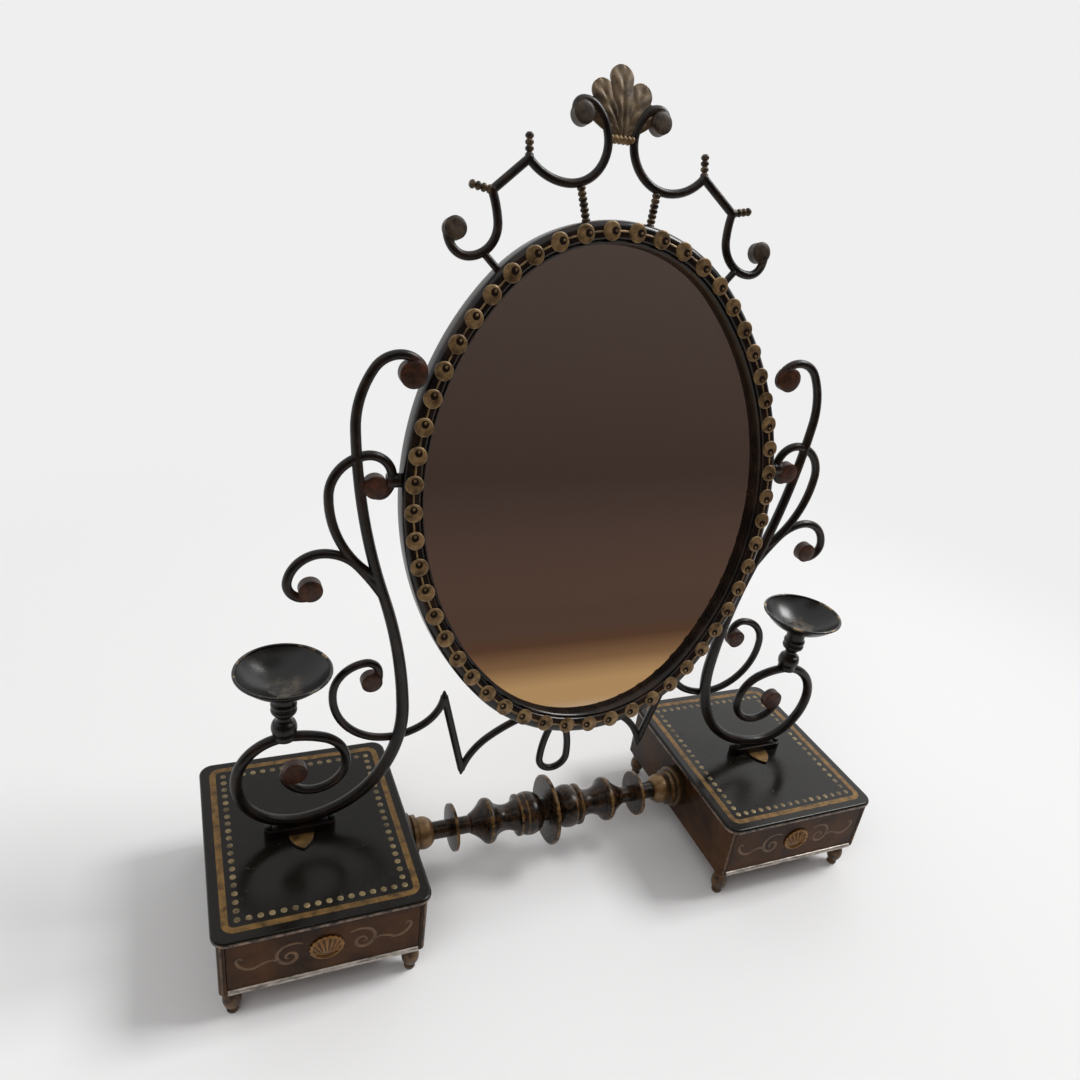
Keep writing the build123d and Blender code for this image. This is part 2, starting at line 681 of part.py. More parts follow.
both_sides("box_case", case)
both_sides("box_lid", lid)
both_sides("base_bead", bead)
both_sides("box_feet", feet)
both_sides("drawer_front", front)
both_sides("drawer_tray", tray)
both_sides("drawer_shell", shell)
both_sides("upright", upright)
both_sides("shoe", shoe)
both_sides("shoe_screws", group(screws))
both_sides("candle_stem", stem)
both_sides("candle_dish", dish)
nodes["pivot_pins"] = group([pin, mirror(pin, about=Plane.YZ)])
nodes["pivot_washers"] = group([washer, mirror(washer, about=Plane.YZ)])
nodes["cross_rail"] = rail
nodes["rail_drop"] = drop
nodes["spindle"] = spindle
nodes["spindle_collars"] = group([collar, mirror(collar, about=Plane.YZ)])

os.makedirs("parts", exist_ok=True)
for name, solid in nodes.items():
    export_step(solid, os.path.join("parts", name + ".step"))
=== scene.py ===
import bmesh
import bpy
import math
from mathutils import Matrix, Vector


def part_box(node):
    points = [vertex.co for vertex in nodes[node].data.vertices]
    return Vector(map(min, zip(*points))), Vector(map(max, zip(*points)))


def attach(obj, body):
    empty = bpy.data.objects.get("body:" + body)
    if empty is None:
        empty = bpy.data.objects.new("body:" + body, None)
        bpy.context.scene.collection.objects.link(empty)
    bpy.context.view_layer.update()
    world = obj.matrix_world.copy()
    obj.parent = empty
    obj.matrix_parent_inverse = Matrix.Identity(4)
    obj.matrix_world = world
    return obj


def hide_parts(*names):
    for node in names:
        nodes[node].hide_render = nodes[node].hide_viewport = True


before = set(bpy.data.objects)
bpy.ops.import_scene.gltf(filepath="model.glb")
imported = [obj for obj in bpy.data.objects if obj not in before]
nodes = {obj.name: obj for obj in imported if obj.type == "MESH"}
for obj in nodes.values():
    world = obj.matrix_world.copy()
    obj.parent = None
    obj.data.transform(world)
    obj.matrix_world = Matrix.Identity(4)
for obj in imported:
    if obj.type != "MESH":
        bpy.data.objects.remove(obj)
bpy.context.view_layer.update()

# Box cases: wooden boxes under each upright, brushed with dark brown japanning.
# The brown shows through where hands and cloths have thinned the coat.
# Two cases are made the same and stand 380 mm apart between centres.


def linear(code):
    """sRGB hex colour as linear red, green, blue and alpha."""
    parts = [int(code[i:i + 2], 16) / 255 for i in (1, 3, 5)]
    return [c / 12.92 if c <= 0.04045 else ((c + 0.055) / 1.055) ** 2.4 for c in parts] + [1.0]


def feed(node, links):
    """Sets a node's sockets to values or joins them to outputs; a node stands for its first output in use."""
    for name, value in links.items():
        if isinstance(value, bpy.types.Node):
            value = next(output for output in value.outputs if output.enabled)
        if isinstance(value, bpy.types.NodeSocket):
            node.id_data.links.new(value, node.inputs[name])
        else:
            node.inputs[name].default_value = value


def lay(tree, kind, links=None, stops=(), **settings):
    """Adds one shader node with its settings and links; stops are the places and hex colours of a ramp."""
    node = tree.nodes.new("ShaderNode" + kind)
    for name, value in settings.items():
        setattr(node, name, value)
    for index, (position, code) in enumerate(stops):
        ramp = node.color_ramp.elements
        stop = ramp[index] if index < 2 else ramp.new(position)
        stop.position = position
        stop.color = linear(code)
    feed(node, links or {})
    return node


def finish(name, roughness=0.5, metallic=0.0, specular=0.5):
    """New material; returns it, its node tree, its shader and the place on the object in metres."""
    material = bpy.data.materials.new(name)
    material.use_nodes = True
    tree = material.node_tree
    shader = tree.nodes["Principled BSDF"]
    feed(shader, {"Roughness": roughness, "Metallic": metallic, "Specular IOR Level": specular})
    return material, tree, shader, lay(tree, "TexCoord").outputs["Object"]


def dress(material, *names):
    """Puts a material on CAD nodes."""
    for name in names:
        mesh = nodes[name].data
        mesh.materials.clear()
        mesh.materials.append(material)


def pair(name):
    """Names of a left and a right node."""
    return ["left_" + name, "right_" + name]


# Dark brown with a low shine, warmer in thin places about 45 mm wide, with brush marks about 2 mm.
japan, tree, shader, place = finish("brown_japanned_wood", specular=0.12)
thin = lay(tree, "TexNoise", {"Vector": place, "Scale": 1000 / 45, "Detail": 5.0, "Roughness": 0.6})
brush = lay(tree, "TexNoise", {"Vector": place, "Scale": 1000 / 2, "Detail": 3.0})
feed(shader, {
    "Base Color": lay(tree, "ValToRGB", {"Fac": thin}, ((0.38, "#25160b"), (0.72, "#58381b"))),
    "Roughness": lay(tree, "MapRange", {"Value": thin, "To Min": 0.24, "To Max": 0.5}),
    "Normal": lay(tree, "Bump", {"Height": brush, "Strength": 0.12, "Distance": 0.0004})})
dress(japan, *pair("box_case"))

# Feet: turned wooden feet, bronzed, pegged under the corners of each case.
# The bronze powder is rubbed to the brown ground in places.

# Brown gold, rubbed in places about 6 mm wide, with a dry grain about 0.6 mm.
bronze, tree, shader, place = finish("rubbed_bronze_powder", 0.45, 0.3)
rub = lay(tree, "TexNoise", {"Vector": place, "Scale": 1000 / 6, "Detail": 6.0, "Roughness": 0.65})
grain = lay(tree, "TexNoise", {"Vector": place, "Scale": 1000 / 0.6})
feed(shader, {
    "Base Color": lay(tree, "ValToRGB", {"Fac": rub}, ((0.38, "#24170d"), (0.66, "#6e5030"))),
    "Normal": lay(tree, "Bump", {"Height": grain, "Strength": 0.2, "Distance": 0.0003})})
dress(bronze, *pair("box_feet"))

# Base bead: half-round moulding glued along the foot of each front, under the drawer.
# It is silvered, dulled to grey, and darker in streaks.
bead_low, bead_high, bead_rise = 0.0252, 0.0292, 0.0017
bead_half_length = 0.0625
box_x = 0.190
case_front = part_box("left_box_case")[0].y
hands = ((-1, "left"), (1, "right"))


def piece(name, build, material, body, slot, *given):
    """New mesh piece from a bmesh that build fills, riding on a body; given goes on to build."""
    shape = bmesh.new()
    build(shape, *given)
    bmesh.ops.recalc_face_normals(shape, faces=shape.faces)
    mesh = bpy.data.meshes.new(name)
    shape.to_mesh(mesh)
    shape.free()
    mesh.polygons.foreach_set("use_smooth", [True] * len(mesh.polygons))
    mesh.set_sharp_from_angle(angle=math.radians(40))
    mesh.materials.append(material)
    thing = bpy.data.objects.new(name, mesh)
    bpy.context.scene.collection.objects.link(thing)
    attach(thing, body)
    return thing


def skin(shape, rows, closed=True):
    """Faces between rows of corners; closed joins each row's last corner to its first."""
    made = []
    for low, high in zip(rows, rows[1:]):
        for i in range(len(low) if closed else len(low) - 1):
            j = (i + 1) % len(low)
            made.append(shape.faces.new((low[i], low[j], high[j], high[i])))
    return made


def half_round(shape, start, stop, half, rise, steps=8):
    """Half-round strip on a front between two points, half its width to each side."""
    across = (Vector(stop) - Vector(start)).normalized().cross(Vector((0, 1, 0)))
    rows = []
    for end in (start, stop):
        angles = [math.pi * step / steps for step in range(steps + 1)]
        rows.append([shape.verts.new(
            Vector(end) + across * half * math.cos(a) - Vector((0, rise * math.sin(a), 0))) for a in angles])
    skin(shape, rows, closed=False)
    shape.faces.new(rows[0])
    shape.faces.new(rows[1])


def foot_bead(shape, middle):
    height = (bead_low + bead_high) / 2
    ends = [(middle + k * bead_half_length, case_front, height) for k in (-1, 1)]
    half_round(shape, *ends, (bead_high - bead_low) / 2, bead_rise)


# Soft grey shine, dull in streaks about 12 mm long that follow the bead.
silver, tree, shader, place = finish("dulled_silver_leaf", 0.4, 0.5)
streak = lay(tree, "Mapping", {"Vector": place, "Scale": (0.35, 1.0, 1.0)})
dull = lay(tree, "TexNoise", {"Vector": streak, "Scale": 1000 / 4, "Detail": 5.0, "Roughness": 0.7})
feed(shader, {"Base Color": lay(tree, "ValToRGB", {"Fac": dull}, ((0.32, "#40362e"), (0.58, "#bdb5ab")))})
for side, name in hands:
    bead = piece(name + "_foot_bead", foot_bead, silver, "base", "silvered_bead", side * box_x)
    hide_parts(name + "_base_bead")

# Edge strips: a thin half-round line up each side of the drawer opening, bronzed like the feet.
# They are glued on the front edges of the case's walls, from the bead to the lid.
strip_x, strip_half, strip_rise = 0.0656, 0.0008, 0.0006
strip_low, strip_high = 0.0265, 0.0713


def edge_strips(shape):
    for box in (-1, 1):
        for side in (-1, 1):
            ends = [(box * box_x + side * strip_x, case_front, z) for z in (strip_low, strip_high)]
            half_round(shape, *ends, strip_half, strip_rise)


piece("case_edge_strips", edge_strips, bronze, "base", "gilt_wood")

# Lids: flat boards with a rounded edge, fixed on the cases, in polished black japanning.
# The polish mirrors the ring above it; the lower edge is worn to the grey-brown ground, made lighter still by
# a painted highlight along it.
lid_half = (0.071, 0.085)
lid_corner = 0.010
worn_lit_from, worn_lit_to = 0.0754, 0.0738
worn_lit_inside, worn_lit_outside = 0.0022, 0.0006

# Deep gloss that hazes over about 34 mm and scuffs over about 9 mm.
lacquer, tree, shader, place = finish("polished_black_japanning", specular=0.22)
axes = lay(tree, "SeparateXYZ", {"Vector": place}).outputs
across = lay(tree, "Math", {0: axes["X"]}, operation="ABSOLUTE")
across = lay(tree, "Math", {0: across, 1: box_x}, operation="SUBTRACT")
across = lay(tree, "Math", {0: across}, operation="ABSOLUTE")
across = lay(tree, "Math", {0: across, 1: lid_half[0] - lid_corner}, operation="SUBTRACT")
across = lay(tree, "Math", {0: across, 1: 0.0}, operation="MAXIMUM")
deep = lay(tree, "Math", {0: axes["Y"]}, operation="ABSOLUTE")
deep = lay(tree, "Math", {0: deep, 1: lid_half[1] - lid_corner}, operation="SUBTRACT")
deep = lay(tree, "Math", {0: deep, 1: 0.0}, operation="MAXIMUM")
reach = lay(tree, "CombineXYZ", {"X": across, "Y": deep})
reach = lay(tree, "VectorMath", {0: reach}, operation="LENGTH")
# The worn line, partly a painted highlight, runs along the lower half of the edge, about 2 mm high, and
# breaks up every 6 mm or so.
rim = lay(tree, "MapRange", {
    "Value": reach, "From Min": lid_corner - worn_lit_inside, "From Max": lid_corner - worn_lit_outside})
foot = lay(tree, "MapRange", {"Value": axes["Z"], "From Min": worn_lit_from, "From Max": worn_lit_to})
chip = lay(tree, "TexNoise", {"Vector": place, "Scale": 1000 / 6, "Detail": 6.0, "Roughness": 0.7})
chipped_and_lit = lay(tree, "MapRange", {"Value": chip, "From Min": 0.36, "From Max": 0.58})
bare = lay(tree, "Math", {0: rim, 1: chipped_and_lit}, operation="MULTIPLY")
bare = lay(tree, "Math", {0: bare, 1: foot}, operation="MULTIPLY")
scuff = lay(tree, "TexNoise", {
    "Vector": place, "Scale": 1000 / 9, "Detail": 8.0, "Roughness": 0.72, "Distortion": 0.6})
scuffed = lay(tree, "MapRange", {"Value": scuff, "From Min": 0.6, "From Max": 0.75, "To Max": 0.5})
haze = lay(tree, "TexNoise", {"Vector": place, "Scale": 1000 / 34, "Detail": 4.0})
gloss = lay(tree, "MapRange", {
    "Value": haze, "From Min": 0.3, "From Max": 0.7, "To Min": 0.14, "To Max": 0.3})
black = lay(tree, "Mix", {
    "Factor": scuffed, 6: linear("#120f0b"), 7: linear("#3c372f")}, data_type="RGBA")
# The pale grey-brown on the lower edge is worn ground with a painted highlight laid over it.
feed(shader, {
    "Base Color": lay(tree, "Mix", {"Factor": bare, 6: black, 7: linear("#8a7666")}, data_type="RGBA"),
    "Roughness": lay(tree, "Math", {0: gloss, 1: scuffed}, operation="ADD"),
    "Normal": lay(tree, "Bump", {"Height": haze, "Strength": 0.25, "Distance": 0.0006})})
dress(lacquer, *pair("box_lid"))

# Gilt line and dots on the lids, laid on with a brush inside the edge.
# The line is bronze powder in size; the dots are thicker drops of a paler gold.
line_inset, line_width, line_rise, line_corner = 0.0070, 0.0044, 0.00012, 0.008
dot_inset, dot_radius, dot_rise = 0.0168, 0.0021, 0.0003
dot_counts = (16, 20)
lid_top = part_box("left_box_lid")[1].z

# Dull gold, rubbed down to the dark ground in gaps about 7 mm wide.
gilt_line, tree, shader, place = finish("brushed_gilt_line", 0.42, 0.55)
gap = lay(tree, "TexNoise", {"Vector": place, "Scale": 1000 / 7, "Detail": 7.0, "Roughness": 0.7})
feed(shader, {"Base Color": lay(tree, "ValToRGB", {"Fac": gap}, ((0.32, "#2a1e10"), (0.58, "#7a5c30")))})
# Pale dull gold, each drop a little different over patches about 8 mm wide.
gilt_drop, tree, shader, place = finish("pale_gilt_drop", 0.45, 0.3)
cell = lay(tree, "TexNoise", {"Vector": place, "Scale": 1000 / 8, "Detail": 3.0})
feed(shader, {"Base Color": lay(tree, "ValToRGB", {"Fac": cell}, ((0.35, "#4a3c24"), (0.65, "#857450")))})


def rounded(half_x, half_y, corner, steps=8):
    """Points of a rounded rectangle, counter-clockwise."""
    points = []
    for turn, (sx, sy) in enumerate(((1, 1), (-1, 1), (-1, -1), (1, -1))):
        for step in range(steps + 1):
            angle = math.radians(90 * turn + 90 * step / steps)
            x = sx * (half_x - corner) + corner * math.cos(angle)
            points.append((x, sy * (half_y - corner) + corner * math.sin(angle)))
    return points


def gilt_band(shape):
    half_x, half_y = lid_half[0] - line_inset, lid_half[1] - line_inset
    outer = rounded(half_x, half_y, line_corner)
    inner = rounded(half_x - line_width, half_y - line_width, line_corner - line_width)
    for side in (-1, 1):
        loops = []
        for points, rise in ((outer, 0.0), (outer, line_rise), (inner, line_rise), (inner, 0.0)):
            loops.append([shape.verts.new((side * box_x + x, y, lid_top + rise)) for x, y in points])
        skin(shape, loops)


def dome(shape, centre, out, radius, rise, rings=3, sides=14):
    """Round cap on a surface: centre on the surface, out is its normal."""
    turn = Vector(out).to_track_quat("Z", "Y").to_matrix()
    loops = []
    for ring in range(rings):
        angle = math.pi / 2 * ring / rings
        across, up = radius * math.cos(angle), rise * math.sin(angle)
        spins = [2 * math.pi * side / sides for side in range(sides)]
        loops.append([shape.verts.new(
            Vector(centre) + turn @ Vector((across * math.cos(a), across * math.sin(a), up))) for a in spins])
    skin(shape, loops)
    tip = shape.verts.new(Vector(centre) + turn @ Vector((0, 0, rise)))
    for i in range(sides):
        shape.faces.new((loops[-1][i], loops[-1][(i + 1) % sides], tip))


def gilt_dots(shape):
    half_x, half_y = lid_half[0] - dot_inset, lid_half[1] - dot_inset
    spots = []
    for i in range(dot_counts[0]):
        x = -half_x + 2 * half_x * i / (dot_counts[0] - 1)
        spots += [(x, -half_y), (x, half_y)]
    for i in range(1, dot_counts[1] - 1):
        y = -half_y + 2 * half_y * i / (dot_counts[1] - 1)
        spots += [(-half_x, y), (half_x, y)]
    for side in (-1, 1):
        for x, y in spots:
            dome(shape, (side * box_x + x, y, lid_top), (0, 0, 1), dot_radius, dot_rise)


piece("lid_gilt_lines", gilt_band, gilt_line, "base", "gilt")
piece("lid_gilt_dots", gilt_dots, gilt_drop, "base", "gilt")

# Drawer fronts: boards in brown japanning that slide in the cases, with plain wooden trays behind.
# The fronts are a little warmer than the cases; the trays are bare planed deal.
front_y, front_z = -0.082, 0.05025


def planed(name, run):
    """Bare planed softwood with a dry grain; run squeezes the pattern along the grain."""
    material, tree, shader, place = finish(name, 0.62)
    # Growth rings about 4 mm apart across the grain.
    grain = lay(tree, "Mapping", {"Vector": place, "Scale": run})
    rings = lay(tree, "TexNoise", {
        "Vector": grain, "Scale": 1000 / 4, "Detail": 6.0, "Distortion": 1.2})
    feed(shader, {
        "Base Color": lay(tree, "ValToRGB", {"Fac": rings}, ((0.35, "#6b4a2c"), (0.65, "#a07a4e"))),
        "Normal": lay(tree, "Bump", {"Height": rings, "Strength": 0.2, "Distance": 0.0004})})
    return material


# Warm dark brown with a soft shine, clouded over about 30 mm.
umber, tree, shader, place = finish("umber_japanned_front", specular=0.1)
cloud = lay(tree, "TexNoise", {"Vector": place, "Scale": 1000 / 30, "Detail": 5.0, "Roughness": 0.6})
feed(shader, {
    "Base Color": lay(tree, "ValToRGB", {"Fac": cloud}, ((0.35, "#27160a"), (0.7, "#523318"))),
    "Roughness": lay(tree, "MapRange", {"Value": cloud, "To Min": 0.22, "To Max": 0.42})})
dress(umber, *pair("drawer_front"))
dress(planed("planed_deal_tray", (1.0, 0.12, 1.0)), *pair("drawer_tray"))

# Painted scrolls on the drawer fronts, one each side of the shell, brushed in thin bronze.
# Each is a C scroll beside the shell with a tail that waves out to the front's end.
# Points of a stroke are mm from the shell's middle, followed by the stroke's width.
paint_rise = 0.00012
scroll_lines = [
    ([(15.5, 8.0), (21.0, 9.6), (28.0, 8.0), (31.8, 2.2), (30.0, -4.8), (24.4, -7.8),
      (19.6, -4.6), (20.4, 0.4), (24.4, 1.6), (26.4, -1.6), (24.2, -3.4)], 2.5),
    ([(30.4, -4.2), (35.0, -1.4), (41.0, -2.6), (46.0, -5.0), (51.5, -3.8), (55.5, 0.6),
      (56.6, 5.0), (54.2, 6.6), (52.8, 4.6)], 2.2),
]

# Faint brown gold that thins out over about 9 mm.
faint, tree, shader, place = finish("thin_bronze_paint", 0.45, 0.25)
thin = lay(tree, "TexNoise", {"Vector": place, "Scale": 1000 / 9, "Detail": 6.0, "Roughness": 0.65})
feed(shader, {"Base Color": lay(tree, "ValToRGB", {"Fac": thin}, ((0.34, "#3d2816"), (0.66, "#6c4c2b")))})


def eased(points, steps=7):
    """Smooth line through points."""
    line = []
    last = len(points) - 1
    for i in range(last):
        before, start, stop, after = (Vector(points[max(0, min(last, i + k))]) for k in (-1, 0, 1, 2))
        for step in range(steps):
            t = step / steps
            line.append(0.5 * (
                2 * start + (stop - before) * t + (2 * before - 5 * start + 4 * stop - after) * t * t
                + (3 * start - before - 3 * stop + after) * t ** 3))
    return line + [Vector(points[-1])]


def stroke(shape, points, width, put):
    """Flat brush stroke along points, thin at both ends; put places a point of the drawing at a height."""
    line = eased(points)
    rows = []
    for i, spot in enumerate(line):
        way = (line[min(i + 1, len(line) - 1)] - line[max(i - 1, 0)]).normalized()
        side = Vector((-way.y, way.x))
        share = i / (len(line) - 1)
        half = width / 2 * (0.35 + 0.65 * math.sin(math.pi * min(1.0, 0.08 + 0.9 * share)))
        edges = ((-1, 0), (-0.6, 1), (0.6, 1), (1, 0))
        rows.append([shape.verts.new(put(spot + side * half * k, rise)) for k, rise in edges])
    skin(shape, rows, closed=False)


def front_scrolls(shape, middle):
    for hand in (-1, 1):
        for points, width in scroll_lines:
            stroke(shape, points, width, lambda spot, rise: (
                middle + hand * spot.x * 0.001, front_y - paint_rise * rise, front_z + spot.y * 0.001))


for side, name in hands:
    piece(name + "_front_scrolls", front_scrolls, faint, name + "_drawer", "gilt", side * box_x)

# Shell on each drawer front: a small stamped scallop with a raised rim, bronzed.
# It is what the drawer is pulled by; its flutes fan out from a point below its middle.
flutes, flute_depth = 24, 0.0004
fan_drop, fan_hub = 0.0085, 0.008
shell_radius, shell_lobe, shell_lobes, shell_squash = 0.0108, 0.0009, 18, 0.93
bowl_rise, bowl_share, hub_rise = 0.0022, 0.78, 0.0026
rim_rise, rim_middle, rim_half = 0.0017, 0.9, 0.12
bright_from, bright_to = 0.0086, 0.0096

# Brown gold; dirt lies in the flutes, the rim and the places rubbed over about 5 mm stay bright.
shell_gilt, tree, shader, place = finish("stamped_gilt_brass", 0.4, 0.5)
axes = lay(tree, "SeparateXYZ", {"Vector": place}).outputs
aside = lay(tree, "Math", {0: axes["X"]}, operation="ABSOLUTE")
aside = lay(tree, "Math", {0: aside, 1: box_x}, operation="SUBTRACT")
above = lay(tree, "Math", {0: axes["Z"], 1: front_z - fan_drop}, operation="SUBTRACT")
fan = lay(tree, "Math", {0: aside, 1: above}, operation="ARCTAN2")
fan = lay(tree, "Math", {0: fan, 1: flutes}, operation="MULTIPLY")
fan = lay(tree, "Math", {0: fan}, operation="COSINE")
ribs = lay(tree, "MapRange", {"Value": fan, "From Min": -0.8, "From Max": 0.6})
above = lay(tree, "Math", {0: axes["Z"], 1: front_z}, operation="SUBTRACT")
outward = lay(tree, "CombineXYZ", {"X": aside, "Y": above})
outward = lay(tree, "VectorMath", {0: outward}, operation="LENGTH")
bright = lay(tree, "MapRange", {"Value": outward, "From Min": bright_from, "From Max": bright_to})
clean = lay(tree, "Math", {0: ribs, 1: bright}, operation="MAXIMUM")
rub = lay(tree, "TexNoise", {"Vector": place, "Scale": 1000 / 5, "Detail": 5.0})
rubbed = lay(tree, "MapRange", {"Value": rub, "From Min": 0.3, "From Max": 0.6, "To Min": 0.45})
clean = lay(tree, "Math", {0: clean, 1: rubbed}, operation="MULTIPLY")
feed(shader, {"Base Color": lay(tree, "Mix", {
    "Factor": clean, 6: linear("#472d14"), 7: linear("#8c6434")}, data_type="RGBA")})


def scallop(shape, middle):
    rings, sides = 16, 96
    loops = []
    for ring in range(1, rings + 1):
        share = ring / rings
        loop = []
        for step in range(sides):
            angle = 2 * math.pi * step / sides
            lobes = 0.5 * (1 + math.cos(shell_lobes * angle)) if math.sin(angle) > -0.5 else 0.4
            radius = shell_radius + shell_lobe * lobes
            x, z = radius * share * math.cos(angle), radius * share * math.sin(angle) * shell_squash
            fan = math.atan2(x, z + fan_drop)
            flute = flute_depth * math.cos(fan * flutes) * min(1.0, math.hypot(x, z + fan_drop) / fan_hub)
            inside = bowl_rise * (1 - (share / bowl_share) ** 2) + flute if share < bowl_share else 0.0
            rim = rim_rise * math.sqrt(max(0.0, 1 - ((share - rim_middle) / rim_half) ** 2))
            rise = max(inside, rim, 0.0 if share > 0.97 else 0.0005)
            loop.append(shape.verts.new((middle + x, front_y - rise, front_z + z)))
        loops.append(loop)
    skin(shape, loops)
    hub = shape.verts.new((middle, front_y - hub_rise, front_z))
    for i in range(sides):
        shape.faces.new((loops[0][i], loops[0][(i + 1) % sides], hub))


for side, name in hands:
    shell = piece(name + "_scallop", scallop, shell_gilt, name + "_drawer", "gilt", side * box_x)
    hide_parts(name + "_drawer_shell")

# Uprights, rail and drop: round iron bar drawn down and bent hot into scrolls, in black enamel.
# Shoes, screws, candle stems and pivots are the same iron, and each scroll ends in a round eye.
# An eye is given by its distance aside, its height and its radius.
upright_ends = [
    (0.1315, 0.4115, 0.0082), (0.151, 0.3425, 0.0074), (0.189, 0.2745, 0.0074), (0.1995, 0.131, 0.0083)]
rail_ends = [(0.1477, 0.1965, 0.0072)]


def enamel(name, ends, worn_colour):
    """Smooth black enamel over hammer flats, brown where it is thin and worn at the scroll ends."""
    material, tree, shader, place = finish(name, specular=0.32)
    # Hammer flats about 7 mm, thin places about 16 mm, rubbed places about 5 mm, pits about 0.8 mm.
    flat = lay(tree, "TexNoise", {"Vector": place, "Scale": 1000 / 7})
    thin = lay(tree, "TexNoise", {"Vector": place, "Scale": 1000 / 16, "Detail": 6.0, "Roughness": 0.65})
    rub = lay(tree, "TexNoise", {"Vector": place, "Scale": 1000 / 5, "Detail": 5.0, "Roughness": 0.6})
    pit = lay(tree, "TexNoise", {"Vector": place, "Scale": 1000 / 0.8})
    axes = lay(tree, "SeparateXYZ", {"Vector": place}).outputs
    aside = lay(tree, "Math", {0: axes["X"]}, operation="ABSOLUTE")
    spot = lay(tree, "CombineXYZ", {"X": aside, "Y": axes["Z"]})
    worn = 0.0
    for x, z, radius in ends:
        gap = lay(tree, "VectorMath", {0: spot, 1: (x, z, 0)}, operation="DISTANCE")
        close = lay(tree, "MapRange", {"Value": gap, "From Min": radius * 1.5, "From Max": radius * 0.98})
        worn = lay(tree, "Math", {0: worn, 1: close}, operation="MAXIMUM")
    tone = lay(tree, "ValToRGB", {"Fac": thin}, ((0.48, "#0e0b09"), (0.78, "#2f2017")))
    rubbed = lay(tree, "MapRange", {"Value": rub, "From Min": 0.34, "From Max": 0.66})
    brown = lay(tree, "Mix", {
        "Factor": rubbed, 6: linear("#1b120d"), 7: linear(worn_colour)}, data_type="RGBA")
    gloss = lay(tree, "MapRange", {"Value": thin, "To Min": 0.18, "To Max": 0.44})
    # The scroll ends' arrises are rounded about 1.5 mm.
    soft = lay(tree, "Bevel", {"Radius": 0.0015}, samples=4)
    hammered = lay(tree, "Bump", {"Height": flat, "Strength": 0.25, "Distance": 0.0008, "Normal": soft})
    feed(shader, {
        "Base Color": lay(tree, "Mix", {"Factor": worn, 6: tone, 7: brown}, data_type="RGBA"),
        "Roughness": lay(tree, "Mix", {"Factor": worn, 2: gloss, 3: 0.45}),
        "Normal": lay(tree, "Bump", {
            "Height": pit, "Strength": 0.12, "Distance": 0.0002, "Normal": hammered})})
    return material


iron = enamel("black_enamelled_wrought_iron", upright_ends + rail_ends, "#4f2d1e")
dress(iron, "cross_rail", "rail_drop", "pivot_pins", "pivot_washers")
for name in ("upright", "candle_stem", "shoe", "shoe_screws"):
    dress(iron, *pair(name))

# Tongues: the pointed plates in front of the shoes, gilded where they show on the lids.
# They are one piece with the shoe; the gilding is thin and rubbed.
ring_x = 0.196
tongue_top = lid_top + 0.0015
tongue_half = 0.009
tongue_root, tongue_tip = -0.0062, -0.020
# The leaf of gold lies over the plate's edge: distance in from the edge, and height over the plate.
tongue_section = ((0.0, -0.0002), (0.0003, 0.00015), (0.0012, 0.0003))


def gilt_tongues(shape, steps=12):
    middle = (tongue_root + tongue_tip) / 2 + 0.002
    edge = []
    for step in range(steps + 1):
        t = step / steps
        half = tongue_half * (1 - t) ** 0.8 * (1 + 0.55 * t)
        edge.append((half, tongue_root + (tongue_tip - tongue_root) * t))
    outline = edge + [(-x, y) for x, y in reversed(edge[:-1])]
    for side in (-1, 1):
        rows = []
        for inset, rise in tongue_section:
            shrink = 1 - inset / tongue_half
            ring = [(side * ring_x + x * shrink, middle + (y - middle) * shrink) for x, y in outline]
            rows.append([shape.verts.new((x, y, tongue_top + rise)) for x, y in ring])
        skin(shape, rows)
        shape.faces.new(rows[-1])


piece("shoe_tongue_gilding", gilt_tongues, gilt_line, "base", "gilt")

# Scroll ends: each scroll ends in a flat round eye, hammered a little proud on both faces.
# Its enamel is rubbed to red-brown, as on the bar beside it.
penny_half, penny_rise, penny_margin = 0.0034, 0.0008, 0.0003
rail_y = 0.0046


def base_pennies(shape):
    for ends, y in ((upright_ends, 0.0), (rail_ends, rail_y)):
        for x, z, radius in ends:
            for side in (-1, 1):
                for face in (-1, 1):
                    spot = (side * x, y + face * penny_half, z)
                    dome(shape, spot, (0, face, 0), radius - penny_margin, penny_rise, 5, 32)


piece("scroll_end_faces", base_pennies, iron, "base", "wrought_iron")

# Candle dishes: sheet iron spun to a shallow bowl with a rolled rim, riveted on the turned stems.
# The black enamel is worn to tan on the rim and stained grey-brown by wax in the bowl.
dish_low, dish_high = (corner.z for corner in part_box("left_candle_dish"))
wax_from, wax_to = dish_low + 0.011, dish_low + 0.001
rim_from, rim_to = dish_high - 0.0018, dish_high - 0.0006

# Glossy black, wax stains about 11 mm wide near the bottom, rim worn in patches about 10 mm long.
dish, tree, shader, place = finish("wax_stained_black_enamel", specular=0.45)
axes = lay(tree, "SeparateXYZ", {"Vector": place}).outputs
stain = lay(tree, "TexNoise", {"Vector": place, "Scale": 1000 / 11, "Detail": 7.0, "Roughness": 0.7})
deep = lay(tree, "MapRange", {"Value": axes["Z"], "From Min": wax_from, "From Max": wax_to})
waxed = lay(tree, "Math", {0: stain, 1: deep}, operation="MULTIPLY")
waxy = lay(tree, "MapRange", {"Value": waxed, "From Min": 0.42, "From Max": 0.62, "To Max": 0.75})
rim = lay(tree, "MapRange", {"Value": axes["Z"], "From Min": rim_from, "From Max": rim_to})
patch = lay(tree, "TexNoise", {"Vector": place, "Scale": 1000 / 10, "Detail": 4.0})
patchy = lay(tree, "MapRange", {"Value": patch, "From Min": 0.56, "From Max": 0.68})
worn = lay(tree, "Math", {0: rim, 1: patchy}, operation="MULTIPLY")
bowl = lay(tree, "Mix", {"Factor": waxy, 6: linear("#0f0d0b"), 7: linear("#6a5f50")}, data_type="RGBA")
feed(shader, {
    "Base Color": lay(tree, "Mix", {"Factor": worn, 6: bowl, 7: linear("#a08a66")}, data_type="RGBA"),
    "Roughness": lay(tree, "MapRange", {"Value": stain, "To Min": 0.14, "To Max": 0.42})})
